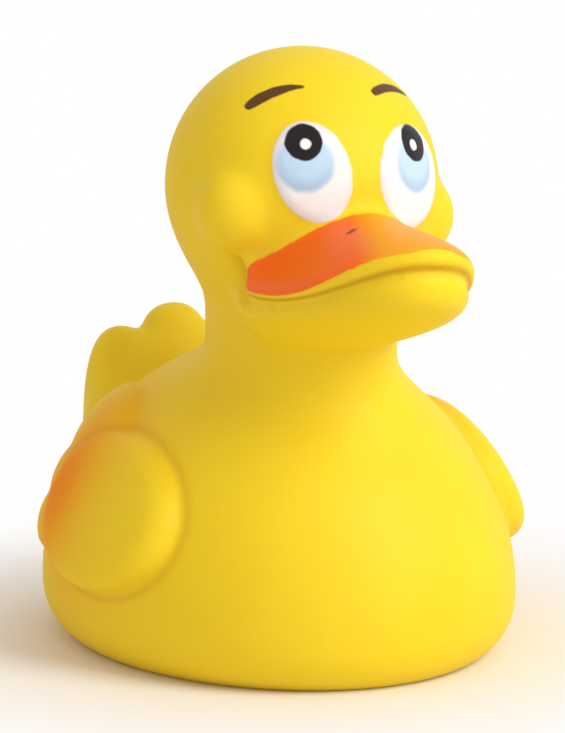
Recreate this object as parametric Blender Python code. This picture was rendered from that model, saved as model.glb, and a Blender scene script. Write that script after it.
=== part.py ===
"""A natural-rubber toy duck, moulded hollow in one closed piece and built here as one solid.

The duck faces -Y and stands on the XY plane. Its origin is the middle of its flat underside.
Lengths are in metres; MM turns the millimetres of the named sizes into metres.
"""

import math

import bmesh
import bpy
import numpy as np
from mathutils import Euler, Matrix, Vector

MM = 0.001

# Body, neck and head
HEIGHT = 90.0 * MM
BODY_WIDTH = 67.0 * MM
BREAST_REACH = 38.5 * MM
RUMP_REACH = 41.0 * MM
BODY_RISE = 36.0 * MM
BODY_FULLNESS = 1.85
WIDEST_HEIGHT = 9.5 * MM
BASE_EDGE_RADIUS = 8.2 * MM
BASE_CUT = 0.7 * MM
NECK_HALF_WIDTH = 13.4 * MM
NECK_HALF_LENGTH = 16.6 * MM
NECK_BASE_HEIGHT = 30.0 * MM
HEAD_RADIUS = 20.1 * MM
HEAD_FORWARD = 5.8 * MM
SHOULDER_BLEND = 6.5 * MM
NAPE_BLEND = 5.0 * MM
HEAD_TILT = math.radians(8.0)

# Bill, measured from the centre of the head
BILL_REACH = 43.0 * MM
BILL_ROOT = 10.0 * MM
BILL_HALF_WIDTH = 14.6 * MM
BILL_BLUNTNESS = 2.3
BILL_EDGE_FULLNESS = 0.6
MOUTH_DROP = 4.8 * MM
MOUTH_ARCH = 11.0 * MM
MOUTH_ARCH_POWER = 2.6
RIDGE_DROP_AT_ROOT = 0.6 * MM
RIDGE_DROP_AT_TIP = 1.0 * MM
ROOF_POWER = 2.1
WALL_AT_ROOT = 4.6 * MM
LIP_WIDTH_AT_ROOT = 1.2 * MM
LIP_WIDTH_AT_TIP = 3.4 * MM
LIP_RELIEF = 1.0 * MM
CHIN_DROP_AT_ROOT = 24.0 * MM
CHIN_DROP_AT_TIP = 12.8 * MM
CHIN_TAPER = 0.38
LIP_OVERHANG = 0.9 * MM
MOUTH_GROOVE_DEPTH = 1.3 * MM
MOUTH_GROOVE_WIDTH = 1.6 * MM
MOUTH_CORNER = 9.6 * MM

# Cheeks and eyes
CHEEK_RADIUS = 6.8 * MM
CHEEK_BULGE = 2.8 * MM
CHEEK_ANGLE = math.radians(62.0)
CHEEK_DROP = 2.9 * MM
EYE_HALF_WIDTH = 5.6 * MM
EYE_HALF_HEIGHT = 7.8 * MM
EYE_LEAN = math.radians(27.0)
EYE_SPACING = 16.2 * MM
EYE_RISE = 4.6 * MM
EYE_RELIEF = 0.4 * MM

# Wings
PALM_RELIEF_AT_TOP = 2.0 * MM
PALM_RELIEF_AT_BOTTOM = 4.2 * MM
FEATHER_RELIEF = 1.9 * MM
WING_EDGE_RADIUS = 2.6 * MM
WING_LENGTH = 40.0 * MM
WING_HEIGHT = 26.0 * MM
PALM_LENGTH_SHARE = 0.78
PALM_HEIGHT_SHARE = 0.82
PALM_TILT = math.radians(8.0)
FEATHER_TILT = math.radians(-10.0)
# Each feather's lift and half height as shares of the wing's height, around its half length as a share of its length
FEATHER_SHARES = ((0.26, 0.25, 0.21), (0.0, 0.27, 0.19), (-0.25, 0.25, 0.18))
WING_CENTRE_BACK = 4.0 * MM
WING_CENTRE_HEIGHT = 25.0 * MM

# Tail
TAIL_HEIGHT = 44.4 * MM
TAIL_BACK = 32.0 * MM
TAIL_LOBE_RADIUS = 5.4 * MM
TAIL_LOBE_SPACING = 10.2 * MM
TAIL_MIDDLE_FULLNESS = 1.15
TAIL_THICKNESS = 9.0 * MM
TAIL_LOBE_LENGTH = 26.6 * MM
TAIL_LOBE_FULLNESS = 0.75
TAIL_LOBE_LEAN = math.radians(-12.0)
TAIL_LOBE_SPLAY = math.radians(-9.0)
TAIL_ROOT_LENGTH = 37.2 * MM
TAIL_ROOT_LEAN = math.radians(-16.0)
TAIL_NOTCH_DEPTH = 2.6 * MM
TAIL_SIDE_DROP = 2.5 * MM

# Mesh fineness
VOXEL = 0.65 * MM
RING_STEP = 1.0 * MM
RING_POINTS = 96
EDGE_STEPS = 16
SMOOTHING_STEPS = 18
TRIANGLE_BUDGET = 8000

HEAD_CENTRE = Vector((0.0, -HEAD_FORWARD, HEIGHT - HEAD_RADIUS))


def smooth_max(a, b, blend):
    """The larger of a and b, rounded over where they are within blend of each other."""
    nearness = max(blend - abs(a - b), 0.0) / blend
    return max(a, b) + nearness * nearness * blend / 4


def smooth_min(a, b, blend):
    """The smaller of each pair of values, rounded over where they are within blend of each other."""
    nearness = np.clip(blend - np.abs(a - b), 0.0, None) / blend
    return np.minimum(a, b) - nearness * nearness * blend / 4


def body_scale(z):
    """The body's size at height z, as a share of its widest section."""
    if z > WIDEST_HEIGHT:
        share = min((z - WIDEST_HEIGHT) / BODY_RISE, 1.0)
        return (1 - share**BODY_FULLNESS) ** (1 / BODY_FULLNESS)
    return 1.0


def base_inset(z):
    """How far the rounded lower edge draws in at height z."""
    above = z + BASE_CUT
    if above >= BASE_EDGE_RADIUS:
        return 0.0
    return BASE_EDGE_RADIUS - math.sqrt(max(BASE_EDGE_RADIUS**2 - (BASE_EDGE_RADIUS - above) ** 2, 0.0))


def head_scale(z):
    """The head sphere's radius at height z."""
    return math.sqrt(max(HEAD_RADIUS**2 - (z - HEAD_CENTRE.z) ** 2, 0.0))


def reach(z, body_reach, neck_reach, offset):
    """How far the skin lies from the body's axis at height z, towards one side."""
    body = body_reach * body_scale(z) - base_inset(z)
    if z < NECK_BASE_HEIGHT:
        return body
    column = head_scale(z)
    if z < HEAD_CENTRE.z:
        column = smooth_max(neck_reach, column, NAPE_BLEND)
    if body <= 0.0:
        return column + offset
    return smooth_max(body, column + offset, SHOULDER_BLEND)


def ring(z):
    """The points of the skin's section at height z."""
    half_width = reach(z, BODY_WIDTH / 2, NECK_HALF_WIDTH, 0.0)
    front = -reach(z, BREAST_REACH, NECK_HALF_LENGTH, HEAD_FORWARD)
    back = reach(z, RUMP_REACH, NECK_HALF_LENGTH, -HEAD_FORWARD)
    middle = (front + back) / 2
    half_length = (back - front) / 2
    turns = [2 * math.pi * i / RING_POINTS for i in range(RING_POINTS)]
    return [Vector((half_width * math.cos(t), middle + half_length * math.sin(t), z)) for t in turns]


def closed_loft(rings):
    """A closed mesh through rings of equal length."""
    mesh = bmesh.new()
    rows = [[mesh.verts.new(point) for point in points] for points in rings]
    for lower, upper in zip(rows, rows[1:]):
        for i in range(len(lower)):
            j = (i + 1) % len(lower)
            mesh.faces.new((lower[i], lower[j], upper[j], upper[i]))
    mesh.faces.new(list(reversed(rows[0])))
    mesh.faces.new(rows[-1])
    return mesh


def trunk():
    """Body, neck and head as one loft from the underside to the crown."""
    quarter = [math.pi / 2 * i / EDGE_STEPS for i in range(EDGE_STEPS + 1)]
    heights = [-BASE_CUT + BASE_EDGE_RADIUS * (1 - math.cos(t)) for t in quarter]
    rise = HEAD_CENTRE.z - heights[-1]
    steps = round(rise / RING_STEP)
    heights += [heights[-1] + rise * i / steps for i in range(1, steps)]
    heights += [HEAD_CENTRE.z + HEAD_RADIUS * math.sin(t * 0.98) for t in quarter]
    return closed_loft([ring(z) for z in heights])


def pad(place, half_sizes, fullness=1.0, turn=(0.0, 0.0, 0.0)):
    """An ellipsoid pad. A fullness under 1 makes it boxier."""
    mesh = bmesh.new()
    bmesh.ops.create_uvsphere(mesh, u_segments=64, v_segments=32, radius=1.0)
    for vert in mesh.verts:
        vert.co = Vector(math.copysign(abs(c) ** fullness, c) for c in vert.co)
        vert.co = Vector(c * h for c, h in zip(vert.co, half_sizes))
    spin = Matrix.Translation(place) @ Euler(turn).to_matrix().to_4x4()
    bmesh.ops.transform(mesh, matrix=spin, verts=mesh.verts)
    return mesh


def face_frame():
    """Turns face coordinates (right to left, forward, up from the head's centre) into the duck's frame."""
    turn = Matrix.Rotation(-HEAD_TILT, 4, Vector((0.0, -1.0, 0.0)))
    return Matrix.Translation(HEAD_CENTRE) @ turn @ Matrix.Diagonal((1.0, -1.0, 1.0, 1.0))


def along_bill(forward):
    """0 at the bill's root and 1 at its tip."""
    return np.clip((forward - BILL_ROOT) / (BILL_REACH - BILL_ROOT), 0.0, 1.0)


def bill_half_width(forward):
    """The bill's half width in plan at a distance forward of the head's centre."""
    if forward < BILL_ROOT:
        return BILL_HALF_WIDTH * (1 - (BILL_ROOT - forward) / (BILL_ROOT + HEAD_RADIUS) / 1.2)
    return BILL_HALF_WIDTH * (1 - along_bill(forward) ** BILL_BLUNTNESS) ** (1 / BILL_BLUNTNESS)


def mouth_height(side):
    """The height of the mouth line, from the head's centre. It arches up across the bill."""
    return -MOUTH_DROP - MOUTH_ARCH * (abs(side) / BILL_HALF_WIDTH) ** MOUTH_ARCH_POWER


def lip_width(forward):
    """The height of the upper lip's roll, which thins out towards the corners of the mouth."""
    share = np.clip((along_bill(forward) - 0.2) / 0.55, 0.0, 1.0)
    return LIP_WIDTH_AT_ROOT + (LIP_WIDTH_AT_TIP - LIP_WIDTH_AT_ROOT) * share


def ridge_height(side, forward):
    """The height of the bill's upper face, which falls from its ridge to the lip."""
    ridge = -RIDGE_DROP_AT_ROOT - (RIDGE_DROP_AT_TIP - RIDGE_DROP_AT_ROOT) * along_bill(forward)
    half = bill_half_width(forward)
    wall = WALL_AT_ROOT + (LIP_WIDTH_AT_TIP - WALL_AT_ROOT) * along_bill(forward)
    edge = mouth_height(half) + wall
    return ridge + (edge - ridge) * min(abs(side) / max(half, 1e-6), 1.0) ** ROOF_POWER


def ridge_line(side):
    """The height at which the bill's upper face leaves the head."""
    fall = MOUTH_DROP + MOUTH_ARCH - WALL_AT_ROOT - RIDGE_DROP_AT_ROOT
    return -RIDGE_DROP_AT_ROOT - fall * (abs(side) / BILL_HALF_WIDTH) ** ROOF_POWER


def chin_height(forward):
    """The height of the lower bill's underside."""
    share = along_bill(forward)
    return -CHIN_DROP_AT_ROOT + (CHIN_DROP_AT_ROOT - CHIN_DROP_AT_TIP) * share


def bill():
    """The bill as one blunt pad with its plan outline, between its chin and its ridge."""
    mesh = bmesh.new()
    bmesh.ops.create_uvsphere(mesh, u_segments=128, v_segments=64, radius=1.0)
    middle = (BILL_REACH - HEAD_RADIUS / 4) / 2
    half_length = BILL_REACH - middle
    for vert in mesh.verts:
        x, y, z = vert.co
        plan = math.hypot(x, y) ** BILL_EDGE_FULLNESS
        height = math.copysign(abs(z) ** BILL_EDGE_FULLNESS, z)
        ahead = math.sin(math.atan2(y, x)) * half_length
        forward = middle + ahead * plan
        side = math.copysign(bill_half_width(middle + ahead) * plan, x) if abs(x) > 1e-6 else 0.0
        low, high = chin_height(forward), ridge_height(side, forward)
        if z < 0.0:
            side *= 1 - CHIN_TAPER * abs(height) * (1 - along_bill(forward) / 2)
        vert.co = Vector((side, forward, (low + high) / 2 + height * (high - low) / 2))
    bmesh.ops.remove_doubles(mesh, verts=mesh.verts, dist=0.01 * MM)
    bmesh.ops.transform(mesh, matrix=face_frame(), verts=mesh.verts)
    bmesh.ops.recalc_face_normals(mesh, faces=mesh.faces)
    return mesh


def cheek(side):
    """The puffed cheek on one side: -1 is the duck's right and 1 its left."""
    out = HEAD_RADIUS + CHEEK_BULGE - CHEEK_RADIUS
    place = Vector((side * out * math.sin(CHEEK_ANGLE), out * math.cos(CHEEK_ANGLE), -CHEEK_DROP))
    return pad(face_frame() @ place, (CHEEK_RADIUS,) * 3)


def tail_lobe(side):
    """One of the three upturned feathers of the tail: side is -1, 0 or 1."""
    half_height = TAIL_LOBE_LENGTH / 2
    place = (side * TAIL_LOBE_SPACING, TAIL_BACK, TAIL_HEIGHT - TAIL_SIDE_DROP * abs(side) - half_height)
    lean = (TAIL_LOBE_LEAN, TAIL_LOBE_SPLAY * side, 0.0)
    radius = TAIL_LOBE_RADIUS if side else TAIL_LOBE_RADIUS * TAIL_MIDDLE_FULLNESS
    return pad(place, (radius, TAIL_THICKNESS / 2, half_height), TAIL_LOBE_FULLNESS, lean)


def tail_root():
    """The thick root of the tail, sunk into the rump."""
    half_height = TAIL_ROOT_LENGTH / 2
    top = TAIL_HEIGHT - TAIL_NOTCH_DEPTH
    half_width = TAIL_LOBE_SPACING + TAIL_LOBE_RADIUS * 1.5
    place = (0.0, TAIL_BACK - TAIL_THICKNESS * 0.45, top - half_height)
    return pad(place, (half_width, TAIL_THICKNESS * 0.9, half_height), 1.0, (TAIL_ROOT_LEAN, 0.0, 0.0))


def joined(meshes, name):
    """One object that holds all the given meshes, still as separate shells."""
    data = bpy.data.meshes.new(name)
    whole = bmesh.new()
    for mesh in meshes:
        part = bpy.data.meshes.new("shell")
        mesh.to_mesh(part)
        whole.from_mesh(part)
        mesh.free()
        bpy.data.meshes.remove(part)
    whole.to_mesh(data)
    whole.free()
    obj = bpy.data.objects.new(name, data)
    bpy.context.scene.collection.objects.link(obj)
    return obj


def apply_modifiers(obj):
    """Replaces the object's mesh by what its modifiers make of it."""
    bpy.context.view_layer.update()
    graph = bpy.context.evaluated_depsgraph_get()
    made = bpy.data.meshes.new_from_object(obj.evaluated_get(graph))
    old = obj.data
    obj.modifiers.clear()
    obj.data = made
    bpy.data.meshes.remove(old)


def fuse(obj, voxel):
    """Melts the shells into one skin."""
    remesh = obj.modifiers.new("Fuse", "REMESH")
    remesh.mode = "VOXEL"
    remesh.voxel_size = voxel
    apply_modifiers(obj)


def soften(obj, steps):
    """Evens the skin out, as moulded rubber is."""
    smooth = obj.modifiers.new("Soften", "SMOOTH")
    smooth.factor = 0.5
    smooth.iterations = steps
    apply_modifiers(obj)


def points_and_normals(obj):
    """The object's vertices and their normals as arrays."""
    count = len(obj.data.vertices)
    points, normals = np.empty(count * 3), np.empty(count * 3)
    obj.data.vertices.foreach_get("co", points)
    obj.data.vertex_normals.foreach_get("vector", normals)
    return points.reshape(-1, 3), normals.reshape(-1, 3)


def oval_height(points, oval):
    """How far inside an oval on the wing's side view each point lies; it is negative outside."""
    back, height, half_length, half_height, tilt = oval
    y, z = points[:, 1] - back, points[:, 2] - height
    along = (y * math.cos(tilt) + z * math.sin(tilt)) / half_length
    across = (-y * math.sin(tilt) + z * math.cos(tilt)) / half_height
    return (1 - np.hypot(along, across)) * half_height


def palm_relief(z):
    """The palm's height at height z. It is thickest at the bottom of the wing."""
    share = np.clip((z - WING_CENTRE_HEIGHT) / WING_HEIGHT + 0.5, 0.0, 1.0)
    return PALM_RELIEF_AT_BOTTOM + (PALM_RELIEF_AT_TOP - PALM_RELIEF_AT_BOTTOM) * share


def cushion(inward, relief, edge_radius):
    """The height of a pad with rounded edges at a distance inward of its outline."""
    share = np.clip(inward / edge_radius, 0.0, 1.0)
    return relief * np.sqrt(1 - (1 - share) ** 2)


def palm_oval():
    """The wing's rounded front part in side view. It tips down towards the breast."""
    return (WING_CENTRE_BACK - WING_LENGTH / 8, WING_CENTRE_HEIGHT - WING_HEIGHT / 10,
            WING_LENGTH * PALM_LENGTH_SHARE / 2, WING_HEIGHT * PALM_HEIGHT_SHARE / 2, PALM_TILT)


def feather_ovals():
    """The wing's three feathers in side view, from the top one down."""
    ovals = []
    for lift, half_length, half_width in FEATHER_SHARES:
        ovals.append((WING_CENTRE_BACK + WING_LENGTH * (0.5 - half_length), WING_CENTRE_HEIGHT + WING_HEIGHT * lift,
                      WING_LENGTH * half_length, WING_HEIGHT * half_width, FEATHER_TILT))
    return ovals


def wing_relief(points):
    """How far each point is raised by the wings."""
    raised = cushion(oval_height(points, palm_oval()), palm_relief(points[:, 2]), WING_EDGE_RADIUS)
    for oval in feather_ovals():
        raised = np.maximum(raised, cushion(oval_height(points, oval), FEATHER_RELIEF, WING_EDGE_RADIUS))
    raised[np.abs(points[:, 0]) < BODY_WIDTH / 8] = 0.0
    return raised


def face_points(points):
    """The points in face coordinates: side, forward and up from the head's centre."""
    turn = np.array(face_frame().inverted())
    return points @ turn[:3, :3].T + turn[:3, 3]


def eye_plane(face, hand):
    """Each point's distance outward and upward of one eye's middle, in the plane that touches the head there."""
    ahead = math.sqrt(HEAD_RADIUS**2 - (EYE_SPACING / 2) ** 2 - EYE_RISE**2)
    level = math.hypot(EYE_SPACING / 2, ahead)
    outward = Vector((hand * ahead, -EYE_SPACING / 2, 0.0)) / level
    gaze = Vector((hand * EYE_SPACING / 2, ahead, EYE_RISE)) / HEAD_RADIUS
    upward = outward.cross(gaze) * hand
    return face @ np.array(outward), face @ np.array(upward)


def eye_relief(face):
    """How far each point is raised by the eyes."""
    raised = np.zeros(len(face))
    for hand in (-1, 1):
        out, rise = eye_plane(face, hand)
        across = (out * math.cos(EYE_LEAN) - rise * math.sin(EYE_LEAN)) / EYE_HALF_WIDTH
        along = (out * math.sin(EYE_LEAN) + rise * math.cos(EYE_LEAN)) / EYE_HALF_HEIGHT
        inward = (1 - np.hypot(across, along)) * EYE_HALF_WIDTH
        raised = np.maximum(raised, cushion(inward, EYE_RELIEF, 2 * EYE_RELIEF))
    raised[face[:, 1] < HEAD_RADIUS / 3] = 0.0
    return raised


def mouth_relief(face):
    """How far each point is raised by the upper lip, or sunk by the groove and the set-back lower lip."""
    side, forward, up = face.T
    above = smooth_min(up - mouth_height(side), forward - MOUTH_CORNER, LIP_WIDTH_AT_TIP)
    lip = LIP_RELIEF * np.exp(-((2 * above / lip_width(forward) - 1) ** 2))
    groove = MOUTH_GROOVE_DEPTH * np.exp(-((above / (MOUTH_GROOVE_WIDTH / 2)) ** 2))
    below = np.clip(-above / MOUTH_GROOVE_WIDTH, 0.0, None)
    set_back = LIP_OVERHANG * np.minimum(2 * below, 1.0) * np.exp(-below / 3)
    raised = lip - groove - set_back
    raised *= np.clip((forward - MOUTH_CORNER) / LIP_WIDTH_AT_TIP + 1, 0.0, 1.0)
    raised *= np.clip((ridge_line(side) - up) / LIP_WIDTH_AT_TIP + 1, 0.0, 1.0)
    raised[np.abs(side) > BILL_HALF_WIDTH * 1.15] = 0.0
    return raised


def carve(obj):
    """Raises the wings and eyes and sinks the mouth, moving the skin along its normals."""
    points, normals = points_and_normals(obj)
    face = face_points(points)
    moved = wing_relief(points) + eye_relief(face) + mouth_relief(face)
    points += normals * moved[:, None]
    obj.data.vertices.foreach_set("co", points.ravel())
    obj.data.update()


def thin_out(obj, triangles):
    """Reduces the skin to a number of triangles, keeping the most where it bends most."""
    obj.data.calc_loop_triangles()
    decimate = obj.modifiers.new("Thin out", "DECIMATE")
    decimate.ratio = min(triangles / len(obj.data.loop_triangles), 1.0)
    decimate.use_collapse_triangulate = True
    apply_modifiers(obj)


def cut_base(obj):
    """Cuts the underside flat at the height of the floor."""
    mesh = bmesh.new()
    mesh.from_mesh(obj.data)
    everything = mesh.verts[:] + mesh.edges[:] + mesh.faces[:]
    bmesh.ops.bisect_plane(mesh, geom=everything, dist=0.0001 * MM, plane_co=(0, 0, 0),
                           plane_no=(0, 0, 1), clear_inner=True)
    rim = [edge for edge in mesh.edges if edge.is_boundary]
    bmesh.ops.edgeloop_fill(mesh, edges=rim)
    bmesh.ops.recalc_face_normals(mesh, faces=mesh.faces)
    mesh.to_mesh(obj.data)
    mesh.free()


def rubber():
    """The duck's matt yellow rubber."""
    material = bpy.data.materials.new("yellow_rubber")
    material.use_nodes = True
    shader = material.node_tree.nodes["Principled BSDF"]
    shader.inputs["Base Color"].default_value = (0.90, 0.62, 0.05, 1.0)
    shader.inputs["Roughness"].default_value = 0.55
    shader.inputs["Metallic"].default_value = 0.0
    return material


def duck(voxel=VOXEL):
    """The whole duck as one skin, before it is thinned out."""
    shells = [trunk(), bill(), cheek(-1), cheek(1), tail_root(), tail_lobe(-1), tail_lobe(0), tail_lobe(1)]
    obj = joined(shells, "duck")
    fuse(obj, voxel)
    soften(obj, SMOOTHING_STEPS)
    carve(obj)
    fuse(obj, voxel)
    soften(obj, 2)
    return obj


def main():
    for old in list(bpy.data.objects):
        bpy.data.objects.remove(old)
    obj = duck()
    thin_out(obj, TRIANGLE_BUDGET)
    cut_base(obj)
    obj.data.materials.clear()
    obj.data.materials.append(rubber())
    obj.data.shade_smooth()


if __name__ == "__main__":
    main()
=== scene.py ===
"""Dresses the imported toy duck: one skin of natural rubber with a hand-painted face, bill and wings.

The duck is one closed moulding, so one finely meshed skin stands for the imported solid. It is made from
the duck's own sizes. One finish holds the bare rubber and every coat of paint on it.
The sizes in the classes are in millimetres, and the scene is in metres. The duck faces -Y.
"""

from __future__ import annotations

import logging
import math
from dataclasses import dataclass
from enum import IntEnum
from functools import reduce
from typing import Any, Callable, Iterable, Sequence

import bmesh
import bpy
import numpy as np
from mathutils import Euler, Matrix, Vector


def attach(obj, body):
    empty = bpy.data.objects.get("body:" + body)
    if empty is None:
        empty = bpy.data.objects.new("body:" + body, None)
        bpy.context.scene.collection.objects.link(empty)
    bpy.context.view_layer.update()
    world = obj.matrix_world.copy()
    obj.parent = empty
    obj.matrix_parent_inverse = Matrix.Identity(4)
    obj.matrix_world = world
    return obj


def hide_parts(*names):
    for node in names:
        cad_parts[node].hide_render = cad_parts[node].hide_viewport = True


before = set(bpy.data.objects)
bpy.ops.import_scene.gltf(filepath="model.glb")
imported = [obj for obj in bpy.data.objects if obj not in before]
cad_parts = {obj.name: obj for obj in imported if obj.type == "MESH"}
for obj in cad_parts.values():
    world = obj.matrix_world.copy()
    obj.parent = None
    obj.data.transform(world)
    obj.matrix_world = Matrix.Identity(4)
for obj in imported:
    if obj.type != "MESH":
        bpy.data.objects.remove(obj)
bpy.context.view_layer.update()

MM = 0.001

# How soft the edge of brushed paint is, and the edge of a mask that keeps paint to its own side.
BRUSH_EDGE = 0.25
MASK_EDGE = 1.0

# Stands in for nothing where a number is divided or its sign is taken.
TINY = 1e-6

log = logging.getLogger("duck")
Shell = bmesh.types.BMesh


class Side(IntEnum):
    """A side of the duck, as the sign of x there."""

    RIGHT = -1
    LEFT = 1


def share_between(value: np.ndarray, low: float, high: float) -> np.ndarray:
    """Places values on a scale from 0 at low to 1 at high, and holds them between the two."""
    return np.clip((value - low) / (high - low), 0.0, 1.0)


def between(start: Any, end: Any, share: Any) -> Any:
    """Goes from start at a share of 0 to end at a share of 1."""
    return start + (end - start) * share


def smooth_max(a: Any, b: Any, blend: float) -> Any:
    """Takes the larger of two lengths, rounded over where they differ by less than blend."""
    nearness = np.clip(blend - np.abs(a - b), 0.0, None) / blend
    return np.maximum(a, b) + nearness * nearness * blend / 4


def smooth_min(a: Any, b: Any, blend: float) -> Any:
    """Takes the smaller of two lengths, rounded over where they differ by less than blend."""
    return -smooth_max(-a, -b, blend)


def cushion(inward: np.ndarray, relief: np.ndarray | float, edge_radius: float) -> np.ndarray:
    """Gives the height of a round-edged pad at points that lie some way inward of its outline."""
    share = share_between(inward, 0.0, edge_radius)
    return relief * np.sqrt(1 - (1 - share) ** 2)


def pad(place: Vector, half_sizes: Sequence[float], fullness: float = 1.0,
        turn: Sequence[float] = (0.0, 0.0, 0.0)) -> Shell:
    """Makes a rounded pad.

    Args:
        place: The pad's centre.
        half_sizes: Its half sizes along its own axes.
        fullness: 1 for an ellipsoid, and less for a boxier pad.
        turn: Its rotation as Euler angles.

    Returns:
        The pad's shell.
    """
    mesh = bmesh.new()
    bmesh.ops.create_uvsphere(mesh, u_segments=96, v_segments=48, radius=1.0)
    for vert in mesh.verts:
        boxed = (math.copysign(abs(c) ** fullness, c) for c in vert.co)
        vert.co = Vector(c * half_size for c, half_size in zip(boxed, half_sizes))
    spin = Matrix.Translation(place) @ Euler(turn).to_matrix().to_4x4()
    bmesh.ops.transform(mesh, matrix=spin, verts=mesh.verts)
    return mesh


def put(name: str, data: bpy.types.ID) -> bpy.types.Object:
    """Puts a new object with its data into the scene.

    Args:
        name: The object's name.
        data: Its data.

    Returns:
        The object.
    """
    made = bpy.data.objects.new(name, data)
    bpy.context.scene.collection.objects.link(made)
    return made


@dataclass(frozen=True)
class Noise:
    """Soft noise: the width of its blotches in millimetres, its finer layers and how strong those are."""

    size: float
    detail: float
    roughness: float


@dataclass(frozen=True)
class Tone:
    """How a noise shows: the level from which it shows, how fast it grows and how much it covers."""

    level: float
    contrast: float
    cover: float

    def mask(self, noise: Field) -> Field:
        """Gives how much another colour covers at each point of the noise."""
        return ((noise - self.level) * self.contrast).clamped() * self.cover


def operator(kind: str, reflected: bool = False) -> Callable[[Field, Number], Field]:
    """Makes the method of a field that adds one kind of Math node.

    Args:
        kind: The node's operation.
        reflected: Whether the field is the second operand.

    Returns:
        The method.
    """
    def add_node(self: Field, other: Number) -> Field:
        """Adds the Math node for this field and another value."""
        return self.bench.math(kind, *((other, self) if reflected else (self, other)))
    return add_node


class Field:
    """A shader socket that Python's operators work on. Each operation on it adds a Math node."""

    __add__, __radd__ = operator("ADD"), operator("ADD", reflected=True)
    __sub__, __rsub__ = operator("SUBTRACT"), operator("SUBTRACT", reflected=True)
    __mul__, __rmul__ = operator("MULTIPLY"), operator("MULTIPLY", reflected=True)
    __truediv__, __rtruediv__ = operator("DIVIDE"), operator("DIVIDE", reflected=True)
    __pow__ = operator("POWER")

    def __init__(self, bench: Bench, socket: bpy.types.NodeSocket) -> None:
        """Wraps a socket of a bench's node tree."""
        self.bench = bench
        self.socket = socket

    def __neg__(self) -> Field:
        """Turns the sign round."""
        return self * -1.0

    def __abs__(self) -> Field:
        """Drops the sign."""
        return self.bench.math("ABSOLUTE", self)

    def clamped(self) -> Field:
        """Holds this between 0 and 1."""
        return self.bench.node("Clamp", values={"Value": self})

    def eased(self) -> Field:
        """Holds this between 0 and 1 with a smooth start and end."""
        settings = {"interpolation_type": "SMOOTHSTEP"}
        return self.bench.node("MapRange", settings, {"Value": self})


Number = Field | float
Colour = tuple[float, float, float]


class Bench:
    """Where the nodes of one material or world are made."""

    def __init__(self, owner: bpy.types.Material | bpy.types.World, shader: str) -> None:
        """Starts the nodes.

        Args:
            owner: The new material or world.
            shader: The name of the shader node that it starts with.
        """
        owner.use_nodes = True
        self.tree = owner.node_tree
        self.shader = self.tree.nodes[shader]

    def feed(self, node: bpy.types.Node, values: dict[str | int, Any]) -> None:
        """Sets or links input sockets of a node.

        Args:
            node: The node.
            values: A field to link or a plain value to set, by each socket's name or number.
        """
        for key, value in values.items():
            socket = node.inputs[key]
            if isinstance(value, Field):
                self.tree.links.new(value.socket, socket)
            elif socket.type == "RGBA" and len(value) == 3:
                socket.default_value = (*value, 1.0)
            else:
                socket.default_value = value

    def node(self, kind: str, settings: dict[str, Any] | None = None,
             values: dict[str | int, Any] | None = None, output: str | int = 0) -> Field:
        """Adds a node.

        Args:
            kind: The shader node's type.
            settings: What is set on the node itself, before its sockets.
            values: The value or link of each input socket, by its name or number.
            output: The output that is wanted, by its name or number.

        Returns:
            The wanted output.
        """
        made = self.tree.nodes.new("ShaderNode" + kind)
        for key, value in (settings or {}).items():
            setattr(made, key, value)
        self.feed(made, values or {})
        return Field(self, made.outputs[output])

    def math(self, operation: str, *values: Number) -> Field:
        """Adds a Math node that works on the values."""
        return self.node("Math", {"operation": operation}, dict(enumerate(values)))

    def vector_math(self, operation: str, values: dict[str | int, Any], output: str) -> Field:
        """Adds a Vector Math node and gives the output that is wanted."""
        return self.node("VectorMath", {"operation": operation}, values, output)

    def along(self, offset: Field, axes: Iterable[Vector]) -> list[Field]:
        """Gives how far each point lies along each of the axes."""
        return [self.vector_math("DOT_PRODUCT", {0: offset, 1: axis}, "Value") for axis in axes]

    def mix(self, factor: Number, under: Field | Colour, over: Field | Colour) -> Field:
        """Mixes two colours: only the first at a factor of 0, and only the second at 1."""
        return self.node("Mix", {"data_type": "RGBA"}, {0: factor, 6: under, 7: over}, output=2)

    def noise(self, place: Field, noise: Noise) -> Field:
        """Adds noise, about 0.5 on average, at places in millimetres."""
        values = {"Vector": place, "Scale": 1 / noise.size, "Detail": noise.detail,
                  "Roughness": noise.roughness}
        return self.node("TexNoise", None, values, "Fac")

    def within(self, distance: Field, softness: float) -> Field:
        """Makes a soft-edged mask, 1 inside and 0 outside, from how far inside each point lies."""
        return (distance / softness + 0.5).clamped()

    def length(self, x: Number, y: Number) -> Field:
        """Gives the length of a vector with two components."""
        return self.math("SQRT", x * x + y * y)

    def smallest(self, rounding: float, *distances: Field) -> Field:
        """Takes the smallest of the distances, rounded over where two are close."""
        return reduce(lambda least, other: self.math("SMOOTH_MIN", least, other, rounding), distances)


@dataclass(frozen=True)
class Paint:
    """A coat of paint: its colour, how matt it is and how far it stands above the rubber."""

    colour: Colour
    roughness: float
    thickness: float = 0.0


@dataclass
class Coats:
    """What has been laid on the surface so far, and how far the brush strays at each point."""

    bench: Bench
    place: Field
    face: Face
    wobble: Field
    colour: Field
    roughness: Field
    height: Field

    def lay(self, mask: Field, paint: Paint) -> None:
        """Lays a coat of paint over the surface.

        Args:
            mask: Where the paint lies.
            paint: The paint.
        """
        self.colour = self.bench.mix(mask, self.colour, paint.colour)
        self.roughness = between(self.roughness, paint.roughness, mask)
        if paint.thickness:
            self.height = self.height + mask * paint.thickness


@dataclass(frozen=True)
class Face:
    """The face coordinates of each shaded point: towards the duck's left, forward and up."""

    offset: Field
    side: Field
    forward: Field
    up: Field
    distance: Field


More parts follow.
